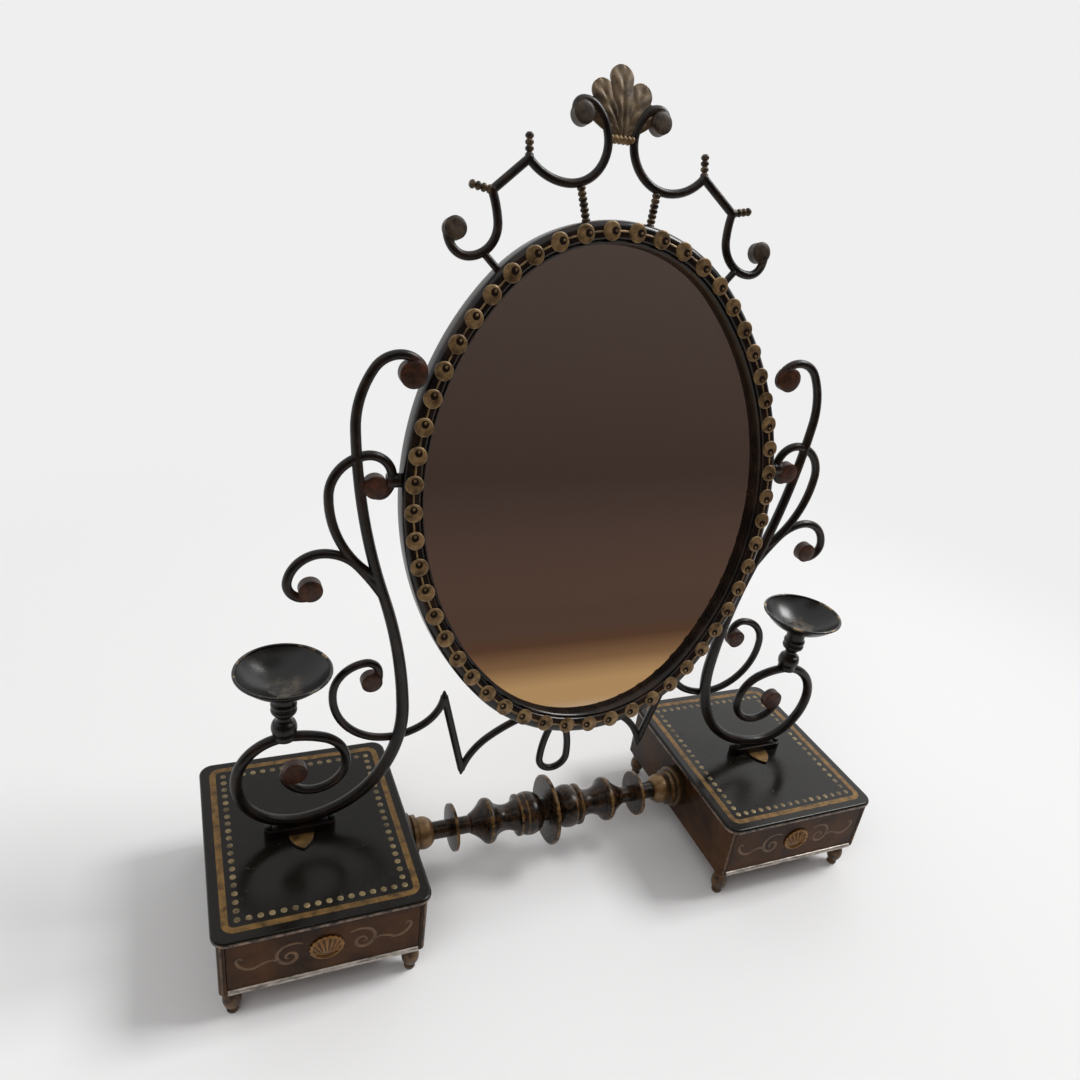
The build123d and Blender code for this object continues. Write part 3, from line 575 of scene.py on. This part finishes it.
dress(dish, *pair("candle_dish"))

# Spindle: turned from one length of wood, black, with gilt on the edges of the rings.
# Its tenons sit in the cases.
spindle_height, middle_disc, side_disc, side_from = 0.0505, 0.028, 0.0184, 0.07
ring_span = 0.1
ring_lines = ((0.2, 0.214), (0.246, 0.272), (0.505, 0.535))

# Polished black with brown showing through over about 6 mm, and broken gilt lines.
turned, tree, shader, place = finish("black_turned_wood_gilt_rings", specular=0.27)
axes = lay(tree, "SeparateXYZ", {"Vector": place}).outputs
along = lay(tree, "Math", {0: axes["X"]}, operation="ABSOLUTE")
share = lay(tree, "MapRange", {"Value": along, "From Max": ring_span})
rings = lay(tree, "ValToRGB", {"Fac": share})
rings.color_ramp.interpolation = "CONSTANT"
rings.color_ramp.elements[1].color = (0, 0, 0, 1)
for start, stop in ring_lines:
    rings.color_ramp.elements.new(start).color = (1, 1, 1, 1)
    rings.color_ramp.elements.new(stop).color = (0, 0, 0, 1)
# The middle disc and the two side discs are gilt only on their rims, about 1 mm in from the edge.
height = lay(tree, "Math", {0: axes["Z"], 1: spindle_height}, operation="SUBTRACT")
spoke = lay(tree, "CombineXYZ", {"X": axes["Y"], "Y": height})
spoke = lay(tree, "VectorMath", {0: spoke}, operation="LENGTH")
middle_rim = lay(tree, "MapRange", {
    "Value": spoke, "From Min": middle_disc - 0.0014, "From Max": middle_disc - 0.001})
side_rim = lay(tree, "MapRange", {
    "Value": spoke, "From Min": side_disc - 0.0011, "From Max": side_disc - 0.0007})
outside = lay(tree, "Math", {0: along, 1: side_from}, operation="GREATER_THAN")
side_rim = lay(tree, "Math", {0: side_rim, 1: outside}, operation="MULTIPLY")
rims = lay(tree, "Math", {0: middle_rim, 1: side_rim}, operation="MAXIMUM")
rims = lay(tree, "Math", {0: rims, 1: rings}, operation="MAXIMUM")
rub = lay(tree, "TexNoise", {"Vector": place, "Scale": 1000 / 6, "Detail": 6.0, "Roughness": 0.7})
left = lay(tree, "MapRange", {"Value": rub, "From Min": 0.36, "From Max": 0.6, "To Max": 0.85})
gilt = lay(tree, "Math", {0: rims, 1: left}, operation="MULTIPLY")
ground = lay(tree, "ValToRGB", {"Fac": rub}, ((0.42, "#0d0b09"), (0.72, "#4a3320")))
feed(shader, {
    "Base Color": lay(tree, "Mix", {"Factor": gilt, 6: ground, 7: linear("#7a5c36")}, data_type="RGBA"),
    "Roughness": lay(tree, "MapRange", {"Value": rub, "To Min": 0.16, "To Max": 0.4})})
dress(turned, "spindle")

# Collars: a turned cup with a stepped flange at each end of the spindle, glued against the case.
# They cover the tenons' joints; cup, step and lip are gilt and the grooves between them dark.
collar_from, collar_to = 0.097, 0.122
collar_levels = ((0.46, 1.0), (0.5, 0.1), (0.54, 0.8), (0.62, 0.8), (0.68, 0.1), (0.76, 0.7), (0.82, 0.15))

# Soft brown gold, rubbed to the dark ground over about 7 mm.
cup_gilt, tree, shader, place = finish("rubbed_gilt_cup", 0.38, 0.35)
axes = lay(tree, "SeparateXYZ", {"Vector": place}).outputs
along = lay(tree, "Math", {0: axes["X"]}, operation="ABSOLUTE")
share = lay(tree, "MapRange", {"Value": along, "From Min": collar_from, "From Max": collar_to})
parts = lay(tree, "ValToRGB", {"Fac": share})
parts.color_ramp.elements[0].color = (1, 1, 1, 1)
parts.color_ramp.elements[1].color = (0.1, 0.1, 0.1, 1)
for spot, level in collar_levels:
    parts.color_ramp.elements.new(spot).color = (level, level, level, 1)
rub = lay(tree, "TexNoise", {"Vector": place, "Scale": 1000 / 7, "Detail": 6.0, "Roughness": 0.65})
rubbed = lay(tree, "MapRange", {"Value": rub, "From Min": 0.34, "From Max": 0.56, "To Min": 0.35})
gilt = lay(tree, "Math", {0: parts, 1: rubbed}, operation="MULTIPLY")
feed(shader, {"Base Color": lay(tree, "Mix", {
    "Factor": gilt, 6: linear("#1a120b"), 7: linear("#7c5f3a")}, data_type="RGBA")})
dress(cup_gilt, "spindle_collars")

# Mirror frame: oval wooden ring, black japanned, with a high crown and a small bead round the glass.
# It hangs on the two pivot pins and leans back 10.8 degrees at rest.
pivot_height, frame_lean, frame_drop = 0.3458, 10.8, 0.0147
lean = Matrix.Translation((0, 0, pivot_height)) @ Matrix.Rotation(math.radians(-frame_lean), 4, "X")
half_width, half_height, end_radius = 0.136, 0.172, 0.112
side_radius = half_width ** 2 + half_height ** 2 - 2 * half_height * end_radius
side_radius /= 2 * (half_width - end_radius)
end_centre, side_centre = half_height - end_radius, side_radius - half_width
join = math.atan2(side_centre, end_centre)
# Section of the ring as mm in from the outside and mm forward of the glass.
frame_section = [
    (0, -6), (0, 3.5), (0.5, 5.2), (1.3, 6.4), (2.5, 7.4), (4, 8), (9, 8), (10.4, 7.6), (11.3, 6.6),
    (11.6, 5.6), (11.9, 6.3), (12.7, 6.6), (13.4, 6.2), (13.8, 5.2), (13.8, 0), (10.8, 0), (10.8, -6)]

# Polished black with brown clouds about 22 mm wide, duller where they are.
rim_black, tree, shader, place = finish("black_japanned_frame", specular=0.35)
cloud = lay(tree, "TexNoise", {"Vector": place, "Scale": 1000 / 22, "Detail": 6.0, "Roughness": 0.65})
feed(shader, {
    "Base Color": lay(tree, "ValToRGB", {"Fac": cloud}, ((0.45, "#0f0d0c"), (0.8, "#38261a"))),
    "Roughness": lay(tree, "MapRange", {"Value": cloud, "To Min": 0.1, "To Max": 0.36})})


def on_oval(inset, share):
    """Point and outward direction on the frame's oval, moved in, at a share of its length from the top."""
    small, large = end_radius - inset, side_radius - inset
    arcs = [
        (small, (0, end_centre), 0.0, join),
        (large, (-side_centre, 0), join, math.pi - join),
        (small, (0, -end_centre), math.pi - join, math.pi + join),
        (large, (side_centre, 0), math.pi + join, 2 * math.pi - join),
        (small, (0, end_centre), 2 * math.pi - join, 2 * math.pi)]
    run = (share % 1.0) * sum(radius * (stop - start) for radius, centre, start, stop in arcs)
    for radius, centre, start, stop in arcs:
        angle = start + run / radius
        if angle <= stop:
            break
        run -= radius * (stop - start)
    out = Vector((math.sin(angle), 0, math.cos(angle)))
    return Vector((centre[0], 0, centre[1])) + out * radius, out


def on_frame(inset, share, forward):
    """Place on the leaning frame at an inset and a share of its oval, forward of the glass."""
    return lean @ (on_oval(inset, share)[0] + Vector((0, -forward, -frame_drop)))


def frame_ring(shape):
    steps = 240
    loops = []
    for step in range(steps):
        loops.append([shape.verts.new(
            on_frame(inset * 0.001, step / steps, forward * 0.001)) for inset, forward in frame_section])
    skin(shape, loops + loops[:1])


ring = piece("oval_frame", frame_ring, rim_black, "mirror", "frame_lacquer")
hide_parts("mirror_frame")

# Studs: gilt discs set round the crown, each with a dark eye and a gilt pin, joined by thin gilt lines.
# Profiles give radius and height in mm; eye and pin sit clockwise of the stud's middle.
crown, stud_inset, stud_count = 0.008, 0.0065, 53
stud_profile = [(5.8, 0.0), (5.8, 0.6), (5.3, 1.0), (4.6, 1.1), (2.4, 1.15)]
eye_profile = [(2.4, 1.1), (2.3, 1.25), (0.7, 1.25)]
pin_profile = [(0.95, 1.25), (0.85, 1.5), (0.4, 1.65)]
eye_offset, pin_offset = 0.0019, 0.0027
link_half, link_rise, link_reach = 0.0006, 0.0003, 0.2
stud_out = lean.to_3x3() @ Vector((0, -1, 0))

# Warm gold with a soft shine, rubbed to brown in places about 6 mm wide.
stud_gilt, tree, shader, place = finish("rubbed_gilt_stud", 0.42, 0.35)
rub = lay(tree, "TexNoise", {"Vector": place, "Scale": 1000 / 6, "Detail": 6.0, "Roughness": 0.65})
feed(shader, {
    "Base Color": lay(tree, "ValToRGB", {"Fac": rub}, ((0.36, "#4a3822"), (0.66, "#9a7f58"))),
    "Normal": lay(tree, "Bump", {"Height": rub, "Strength": 0.2, "Distance": 0.0004})})
# Flat brown-black, uneven over about 1.5 mm.
eye_black, tree, shader, place = finish("dark_eye_paint", 0.6, specular=0.15)
soot = lay(tree, "TexNoise", {"Vector": place, "Scale": 1000 / 1.5, "Detail": 3.0})
feed(shader, {"Base Color": lay(tree, "ValToRGB", {"Fac": soot}, ((0.0, "#070503"), (1.0, "#1c1009")))})


def lathe(shape, centre, out, profile, sides=28, mark=0):
    """Turned button on a surface: profile gives radius and height in mm from its edge to its middle."""
    turn = Vector(out).to_track_quat("Z", "Y").to_matrix() * 0.001
    spins = [2 * math.pi * side / sides for side in range(sides)]
    loops = []
    for radius, rise in profile:
        loops.append([shape.verts.new(
            centre + turn @ Vector((radius * math.cos(a), radius * math.sin(a), rise))) for a in spins])
    for face in skin(shape, loops) + [shape.faces.new(loops[-1])]:
        face.material_index = mark


def stud_ring(shape):
    for index in range(stud_count):
        share = (index + 0.5) / stud_count
        out = on_oval(stud_inset, share)[1]
        onward = lean.to_3x3() @ Vector((out.z, 0, -out.x))
        base = on_frame(stud_inset, share, crown)
        lathe(shape, base, stud_out, stud_profile)
        lathe(shape, base + onward * eye_offset, stud_out, eye_profile, 20, 1)
        lathe(shape, base + onward * pin_offset, stud_out, pin_profile, 12)
        rows = []
        for step in (index - link_reach, index, index + link_reach):
            foot = on_frame(stud_inset, step / stud_count, crown)
            side = lean.to_3x3() @ on_oval(stud_inset, step / stud_count)[1] * link_half
            ridge = (foot + side, foot + stud_out * link_rise, foot - side)
            rows.append([shape.verts.new(spot) for spot in ridge])
        skin(shape, rows, closed=False)


studs = piece("gilt_stud_ring", stud_ring, stud_gilt, "mirror", "gilt")
studs.data.materials.append(eye_black)
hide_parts("frame_studs")

# Glass and back: silvered plate glass in the rabbet, a thin board over it held by nails.
# The old silver is a little grey and has small brown specks.
plate_edge, plate_back = 0.0111, 0.006

# Clear mirror with brown specks about 3 mm apart.
silvered, tree, shader, place = finish("old_silvered_glass", 0.015, 1.0)
speck = lay(tree, "TexNoise", {"Vector": place, "Scale": 1000 / 3, "Detail": 6.0, "Roughness": 0.75})
specks = lay(tree, "MapRange", {"Value": speck, "From Min": 0.74, "From Max": 0.8, "To Max": 0.7})
feed(shader, {"Base Color": lay(tree, "Mix", {
    "Factor": specks, 6: linear("#dcd8d0"), 7: linear("#5c4630")}, data_type="RGBA")})


def plate(shape):
    steps = 160
    faces = []
    for depth in (0.0, plate_back):
        faces.append([shape.verts.new(on_frame(plate_edge, k / steps, -depth)) for k in range(steps)])
    skin(shape, faces)
    for side in faces:
        shape.faces.new(side)


glass = piece("silvered_plate", plate, silvered, "mirror", "silvered_glass")
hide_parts("mirror_glass")
dress(planed("planed_deal_board", (1.0, 1.0, 0.08)), "back_board")
dress(iron, "back_nails")

# Crest: two scrolled bars on beaded posts and short stubs, in the same enamel as the uprights.
# It leans back a little more than the frame; beads, points and the tie are touched with bronze.
# A bar's two eyes are given by their distance aside and their height.
post_angle, crest_lean, crest_forward = 44.8, 4.9, 0.0013
crest_foot = end_centre + end_radius * math.cos(math.radians(post_angle))
crest = lean @ Matrix.Translation((0, -crest_forward, crest_foot - frame_drop)) @ Matrix.Rotation(
    math.radians(-crest_lean), 4, "X") @ Matrix.Translation((0, 0, -crest_foot))
crest_eyes = [(0.1048, 0.160), (0.026, 0.2295)]
crest_penny = 0.0066


def crest_pennies(shape):
    for side in (-1, 1):
        for x, z in crest_eyes:
            for face in (-1, 1):
                spot = crest @ Vector((side * x, face * penny_half, z))
                out = crest.to_3x3() @ Vector((0, face, 0))
                dome(shape, spot, out, crest_penny - penny_margin, penny_rise, 5, 32)


eyes = [crest @ Vector((x, 0, z)) for x, z in crest_eyes]
crest_iron = enamel("worn_crest_enamel", [(eye.x, eye.z, crest_penny) for eye in eyes], "#4f4438")
dress(crest_iron, "crest_stubs", *pair("crest_bar"))
dress(stud_gilt, "crest_tie")
# Brown-black beads with dull gold left in places about 4 mm wide.
dark_bronze, tree, shader, place = finish("darkened_bronze_beads", 0.42, 0.3)
rub = lay(tree, "TexNoise", {"Vector": place, "Scale": 1000 / 4, "Detail": 5.0, "Roughness": 0.65})
feed(shader, {"Base Color": lay(tree, "ValToRGB", {"Fac": rub}, ((0.42, "#17110b"), (0.7, "#6e583c")))})
dress(dark_bronze, "crest_posts", "crest_finials")
piece("crest_end_faces", crest_pennies, crest_iron, "mirror", "wrought_iron")

# Leaf: a palmette of five lobes beaten from sheet brass, each hollowed along its middle vein.
# It stands on the tie between the bars; a lobe is given by its angle, its share of the length and its lift.
leaf_foot, leaf_length, leaf_width, leaf_curl = 0.2197, 0.0395, 0.014, 0.0035
leaf_lobes = ((50, 0.72, 0.0), (-50, 0.72, 0.0), (28, 0.87, 0.0005), (-28, 0.87, 0.0005), (0, 1.02, 0.001))
cap_from = 0.74
swell_rise, rib_rise, front_rise, back_rise = 0.0012, 0.0003, 0.0007, 0.0005
vein_depth, vein_width = 0.0012, 0.14

# Dull brown gold, uneven over about 8 mm.
leaf_gold, tree, shader, place = finish("dull_beaten_brass", 0.5, 0.5)
rub = lay(tree, "TexNoise", {"Vector": place, "Scale": 1000 / 8, "Detail": 6.0, "Roughness": 0.65})
feed(shader, {
    "Base Color": lay(tree, "ValToRGB", {"Fac": rub}, ((0.34, "#352c22"), (0.7, "#786449"))),
    "Normal": lay(tree, "Bump", {"Height": rub, "Strength": 0.3, "Distance": 0.0008})})


def lobes(shape):
    steps, sides = 22, 12
    for angle, share, lift in leaf_lobes:
        turn = Matrix.Rotation(math.radians(angle), 3, "Y")
        lobe = leaf_length * share
        tip = (1 - cap_from) * lobe
        cap = (leaf_width ** 2 / 4 + tip ** 2) / (2 * tip)
        sheets = []
        for face in (-1, 1):
            rows = []
            for step in range(steps + 1):
                t = 1 - (1 - step / steps) ** 1.6
                if t > cap_from:
                    half = math.sqrt(max(0.0, cap ** 2 - (t * lobe - (lobe - cap)) ** 2))
                else:
                    half = leaf_width * (0.2 + 0.3 * math.sin(math.pi / 2 * t / cap_from))
                row = []
                for side in range(sides + 1):
                    k = 2 * side / sides - 1
                    swell = swell_rise * (1 - k * k) * math.sin(math.pi * min(1.0, 0.15 + 0.85 * t))
                    vein = vein_depth * math.exp(-(k / vein_width) ** 2) * (1 - 0.8 * t)
                    rib = rib_rise * math.cos(9 * (t * 2.2 - abs(k) * 0.6)) * (1 - k * k)
                    depth = front_rise + swell - vein + rib + lift if face < 0 else -back_rise - 0.5 * swell
                    spot = turn @ Vector((k * half, 0, t * lobe))
                    curl = leaf_curl * (spot.z / leaf_length) ** 2
                    row.append(shape.verts.new(crest @ Vector((spot.x, curl - depth, leaf_foot + spot.z))))
                rows.append(row)
            skin(shape, rows, closed=False)
            sheets.append(rows)
        for i in (0, sides):
            skin(shape, [[row[i] for row in rows] for rows in sheets], closed=False)
        for end in (0, -1):
            skin(shape, [rows[end] for rows in sheets], closed=False)


leaf = piece("palmette_leaf", lobes, leaf_gold, "mirror", "gilt")
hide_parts("crest_leaf")

# Floor: a plain pale floor under the object that takes its soft shadow.
# It fades to an even pale ground between 0.5 and 1.1 m from the middle, and 0.5 m in front.
ground_colour = linear("#efefef")


def seen(tree):
    """1 for rays of the camera and for rays mirrored or passed on by an object, 0 for rays that light it."""
    path = lay(tree, "LightPath").outputs
    either = lay(tree, "Math", {0: path["Is Camera Ray"], 1: path["Is Glossy Ray"]}, operation="MAXIMUM")
    return lay(tree, "Math", {0: either, 1: path["Is Transmission Ray"]}, operation="MAXIMUM")


def sweep(name, profile, material):
    """Wide sheet of the set along a profile of distance and height."""
    shape = bmesh.new()
    skin(shape, [[shape.verts.new((x, y, z)) for x in (9.0, -9.0)] for y, z in profile], closed=False)
    mesh = bpy.data.meshes.new(name)
    shape.to_mesh(mesh)
    shape.free()
    mesh.polygons.foreach_set("use_smooth", [True] * len(mesh.polygons))
    mesh.materials.append(material)
    sheet = bpy.data.objects.new(name, mesh)
    bpy.context.scene.collection.objects.link(sheet)
    return sheet


# Matt near-white, clouded a very little over about 400 mm.
paper, tree, shader, place = finish("pale_floor", 0.9, specular=0.0)
fibre = lay(tree, "TexNoise", {"Vector": place, "Scale": 1000 / 400})
feed(shader, {"Base Color": lay(tree, "Mix", {
    "Factor": fibre, 6: linear("#f0f0f0"), 7: linear("#eeeeee")}, data_type="RGBA")})
axes = lay(tree, "SeparateXYZ", {"Vector": place}).outputs
reach = lay(tree, "CombineXYZ", {"X": axes["X"], "Y": axes["Y"]})
reach = lay(tree, "VectorMath", {0: reach}, operation="LENGTH")
far = lay(tree, "MapRange", {
    "Value": reach, "From Min": 0.5, "From Max": 1.1}, interpolation_type="SMOOTHSTEP")
ahead = lay(tree, "MapRange", {
    "Value": axes["Y"], "From Min": -0.36, "From Max": -0.5}, interpolation_type="SMOOTHSTEP")
far = lay(tree, "Math", {0: far, 1: ahead}, operation="MAXIMUM")
plain = lay(tree, "Math", {0: far, 1: seen(tree)}, operation="MULTIPLY")
even = lay(tree, "Emission", {"Color": ground_colour, "Strength": 1.0})
feed(tree.nodes["Material Output"], {"Surface": lay(tree, "MixShader", {0: plain, 1: shader, 2: even})})
sweep("floor_sheet", [(9.0, 0.0), (-9.0, 0.0)], paper)

# Brown card: a sheet that lies in front of the object and rises behind the camera, which doesn't see it.
# It gives the glass something dark to mirror, with a tan foot.
card_start, card_bend, card_lift, card_top, cove = -0.46, -1.3, 0.001, 2.6, 0.3
card_tones = ((0.0, "#c09c70"), (0.16, "#8a6a4e"), (0.34, "#5f4536"), (0.6, "#584843"), (1.0, "#5e5350"))

# Matt tan near the object, then brown and greyer up the rise; its near edge fades out.
brown, tree, shader, place = finish("brown_room_card", 0.9, specular=0.0)
axes = lay(tree, "SeparateXYZ", {"Vector": place}).outputs
deep = lay(tree, "MapRange", {"Value": axes["Y"], "From Min": -0.7, "From Max": -1.1})
way_up = lay(tree, "Math", {0: deep, 1: axes["Z"]}, operation="ADD")
way_up = lay(tree, "MapRange", {"Value": way_up, "From Max": 2.0})
feed(shader, {"Base Color": lay(tree, "ValToRGB", {"Fac": way_up}, card_tones)})
near = lay(tree, "MapRange", {
    "Value": axes["Y"], "From Min": -0.62, "From Max": card_start}, interpolation_type="SMOOTHSTEP")
clear = lay(tree, "BsdfTransparent")
feed(tree.nodes["Material Output"], {"Surface": lay(tree, "MixShader", {0: near, 1: shader, 2: clear})})
bend = [math.pi / 2 * k / 12 for k in range(1, 13)]
profile = [(card_start, card_lift), (card_bend, card_lift)]
profile += [(card_bend - cove * math.sin(a), card_lift + cove - cove * math.cos(a)) for a in bend]
profile += [(card_bend - cove, card_top)]
sweep("room_card", profile, brown).visible_camera = False

# Light: a soft box high at the right, a wide weak one behind it whose sheen lies on the right lid,
# and a weaker one in front at the left, with an even pale light all round.
# The front box only lights, so that the tilted glass doesn't show it.
for name, spot, aim, size, power in (
    ("high_box", (4.3, -0.3, 5.1), (0, 0, 0.1), 2.3, 275.0),
    ("sheen_box", (2.2, 2.0, 2.0), (0.19, 0, 0.1), 2.1, 11.0),
    ("front_box", (-0.9, -1.0, 1.6), (0, 0, 0.25), 1.2, 9.0),
):
    lamp = bpy.data.lights.new(name, "AREA")
    lamp.energy = power
    lamp.size = size
    holder = bpy.data.objects.new(name, lamp)
    holder.location = spot
    holder.rotation_euler = (Vector(aim) - Vector(spot)).to_track_quat("-Z", "Y").to_euler()
    holder.visible_camera = False
    holder.visible_glossy = name != "front_box"
    bpy.context.scene.collection.objects.link(holder)
world = bpy.data.worlds.new("even_room")
world.use_nodes = True
tree = world.node_tree
light = tree.nodes["Background"]
feed(light, {"Color": linear("#f0f0f0"), "Strength": 0.58})
even = lay(tree, "Background", {"Color": ground_colour, "Strength": 1.0})
faded = lay(tree, "MixShader", {0: seen(tree), 1: light, 2: even})
feed(tree.nodes["World Output"], {"Surface": faded})
bpy.context.scene.world = world
bpy.context.scene.view_settings.view_transform = "Standard"

# Camera: held a little tilted, above and to the left of the mirror, with a wide lens.
# Its place is worked out from the point that it looks at, two angles and a distance in metres.
azimuth, elevation, roll = (math.radians(a) for a in (-24.83, 26.75, 7.69))
aim, distance = Vector((0.0, 0.08027, 0.23927)), 0.68552
outward = Vector((math.sin(azimuth), -math.cos(azimuth), 0))
back = outward * math.cos(elevation) + Vector((0, 0, math.sin(elevation)))
level = Vector((math.cos(azimuth), math.sin(azimuth), 0))
plumb = back.cross(level)
right = level * math.cos(roll) + plumb * math.sin(roll)
up = plumb * math.cos(roll) - level * math.sin(roll)
camera = bpy.data.cameras.new("front_left_view")
camera.sensor_width = 36.0
camera.lens = 28.717
camera.shift_x = 0.0012
camera.shift_y = 0.0185
camera.clip_start = 0.01
view = bpy.data.objects.new("front_left_view", camera)
turn = Matrix((right, up, back)).transposed().to_4x4()
view.matrix_world = Matrix.Translation(aim + back * distance) @ turn
bpy.context.scene.collection.objects.link(view)
bpy.context.scene.camera = view
